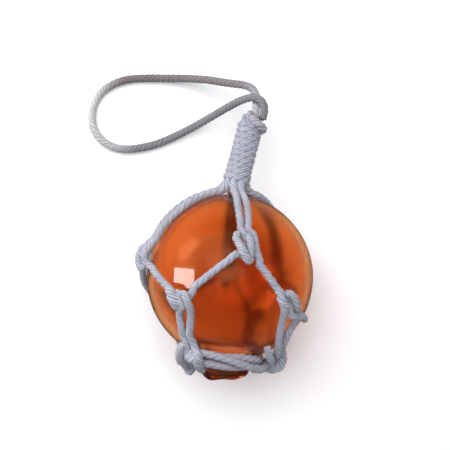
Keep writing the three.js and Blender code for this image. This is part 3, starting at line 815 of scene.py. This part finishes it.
BUNDLE_STEP = 0.0006
BUNDLE_UNEVENNESS = 0.1
BUNDLE_FLUFF = 0.0003
HITCH_ROUTE = [
    (6.4, 73.4, -5.6), (6.6, 72.6, -2.6), (8.6, 71.0, -1.2), (10.6, 69.6, -2.4), (11.0, 68.6, -6.0),
    (9.4, 68.2, -9.6),
]
aside = NECK_WAY.cross(Vector((0, 0, 1))).normalized()
raised = aside.cross(NECK_WAY)

whipping_route = []
for i in range(round(WHIPPING_TURNS * TURN_PLACES) + 1):
    turn = i / TURN_PLACES
    swell = COLLAR_SWELL * math.exp(-((turn - COLLAR_AT) / COLLAR_REACH) ** 2)
    radius = WHIPPING_RADIUS - WHIPPING_CORD / 2 + swell
    a = math.tau * turn
    place = NECK_FOOT + NECK_WAY * (WHIPPING_START + turn * TURN_PITCH)
    place += (aside * math.cos(a) + raised * math.sin(a)) * radius
    whipping_route.append((*place, 1.0))
hitch_route = [(*place, HITCH_SHARE) for place in HITCH_ROUTE]
whipping = laid_rope("neck_whipping", [in_metres(whipping_route), in_metres(hitch_route)],
                     net_cotton, cord_diameter=WHIPPING_CORD * MM, lay_length=WHIPPING_LAY,
                     strand_share=WHIPPING_STRAND_SHARE, step=WHIPPING_STEP,
                     strand_sides=ROPE_SIDES, unevenness=NET_UNEVENNESS, fluff=WHIPPING_FLUFF,
                     fibre_density=FIBRE_DENSITY, fibre_length=FIBRE_LENGTH,
                     fibre_radius=FIBRE_RADIUS)
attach(whipping, "root")
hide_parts("bound_neck")

bundle_routes = []
whipping_top = NECK_FOOT + NECK_WAY * (WHIPPING_START + WHIPPING_TURNS * TURN_PITCH)
for i in range(GATHERED_CORDS):
    a = math.tau * (i + 0.3) / (GATHERED_CORDS - 1)
    spread = BUNDLE_SPREAD if i < GATHERED_CORDS - 1 else 0
    out = (aside * math.cos(a) + raised * math.sin(a)) * spread
    # The cut rises to a peak a little left of the middle and drops where the loop's cord stands.
    cut = CUT_PEAK - CUT_SLANT * abs(out.dot(aside) - CUT_PEAK_RIGHT)
    cut += CUT_RAGGEDNESS * math.sin(5 * i)
    foot = whipping_top + out
    bundle_routes.append([
        (*(foot - NECK_WAY * BUNDLE_DEPTH), BUNDLE_SHARE),
        (*foot, BUNDLE_SHARE),
        (*(foot + NECK_WAY * cut * 0.6), BUNDLE_SHARE_OPENED),
        (*(foot + NECK_WAY * cut), BUNDLE_SHARE),
    ])
bundle = laid_rope("gathered_cord_ends", [in_metres(route) for route in bundle_routes], net_cotton,
                   cord_diameter=NET_CORD * MM, lay_length=NET_LAY * MM,
                   strand_share=BUNDLE_STRAND_SHARE, step=BUNDLE_STEP, strand_sides=ROPE_SIDES,
                   unevenness=BUNDLE_UNEVENNESS, fluff=BUNDLE_FLUFF, fibre_density=FIBRE_DENSITY,
                   fibre_length=FIBRE_LENGTH, fibre_radius=FIBRE_RADIUS)
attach(bundle, "root")

# ---- The table and the light --------------------------------------------------------------
# A plain pale table top, soft daylight from above, a low soft light from the left, and a window
# and a wall that are mirrored in the glass. The table itself isn't mirrored in it.
TABLE_HALF = 2
TABLE_DROP = 0.0002
TABLE_DARK, TABLE_LIGHT = 0.90, 0.94
TABLE_ROUGHNESS = 0.8
GRAINS_PER_METRE = 30.0
ROOM_COLOUR = (0.92, 0.94, 1.0, 1)
ROOM_STRENGTH = 0.37
floor_mesh = bpy.data.meshes.new("table_top")
corners = [(-1, -1), (1, -1), (1, 1), (-1, 1)]
floor_mesh.from_pydata([(x * TABLE_HALF, y * TABLE_HALF, -TABLE_DROP) for x, y in corners], [],
                       [(0, 1, 2, 3)])
table_top = bpy.data.objects.new("table_top", floor_mesh)
scene.collection.objects.link(table_top)
table_top.visible_glossy = False
pale = bpy.data.materials.new("pale_table")
pale.use_nodes = True
tree = pale.node_tree
place = add_node(tree, "ShaderNodeTexCoord").outputs["Object"]
grain = add_node(tree, "ShaderNodeTexNoise",
                 {"Vector": place, "Scale": GRAINS_PER_METRE, "Detail": 4.0})
ramp = add_node(tree, "ShaderNodeValToRGB", {0: grain.outputs[0]})
ramp.color_ramp.elements[0].color = (TABLE_DARK, TABLE_DARK, TABLE_DARK, 1)
ramp.color_ramp.elements[1].color = (TABLE_LIGHT, TABLE_LIGHT, TABLE_LIGHT, 1)
tree.links.new(ramp.outputs[0], tree.nodes["Principled BSDF"].inputs["Base Color"])
tree.nodes["Principled BSDF"].inputs["Roughness"].default_value = TABLE_ROUGHNESS
table_top.data.materials.append(pale)


def add_light(name, place, target, width, height, power, colour, mirrored=False):
    """A soft light that either lights the scene or is only mirrored in the glass"""
    light = bpy.data.lights.new(name, "AREA")
    light.shape = "RECTANGLE"
    light.size, light.size_y = width, height
    light.energy = power
    light.color = colour
    lamp = bpy.data.objects.new(name, light)
    lamp.location = place
    lamp.rotation_euler = (Vector(target) - Vector(place)).to_track_quat("-Z", "Y").to_euler()
    lamp.visible_glossy = mirrored
    lamp.visible_diffuse = not mirrored
    scene.collection.objects.link(lamp)


add_light("daylight", place=(-0.15, 0.40, 1.3), target=ball_centre, width=1.2, height=1.2,
          power=22, colour=(0.98, 0.98, 1.0))
add_light("doorway", place=(-1.1, 0.60, 0.34), target=ball_centre, width=0.6, height=0.45,
          power=9.5, colour=(1.0, 0.99, 0.98))
add_light("window", place=(-0.60, -0.05, 0.32), target=ball_centre, width=0.30, height=0.36,
          power=4.6, colour=(0.97, 0.96, 0.98), mirrored=True)
add_light("pale_wall", place=(-1.25, 1.2, 0.9), target=(-1.25, 1.2, 0), width=2.4, height=2.2,
          power=8, colour=(1.0, 0.85, 0.45), mirrored=True)
world = bpy.data.worlds.new("room")
scene.world = world
world.use_nodes = True
world.node_tree.nodes["Background"].inputs["Color"].default_value = ROOM_COLOUR
world.node_tree.nodes["Background"].inputs["Strength"].default_value = ROOM_STRENGTH
world.cycles_visibility.glossy = False
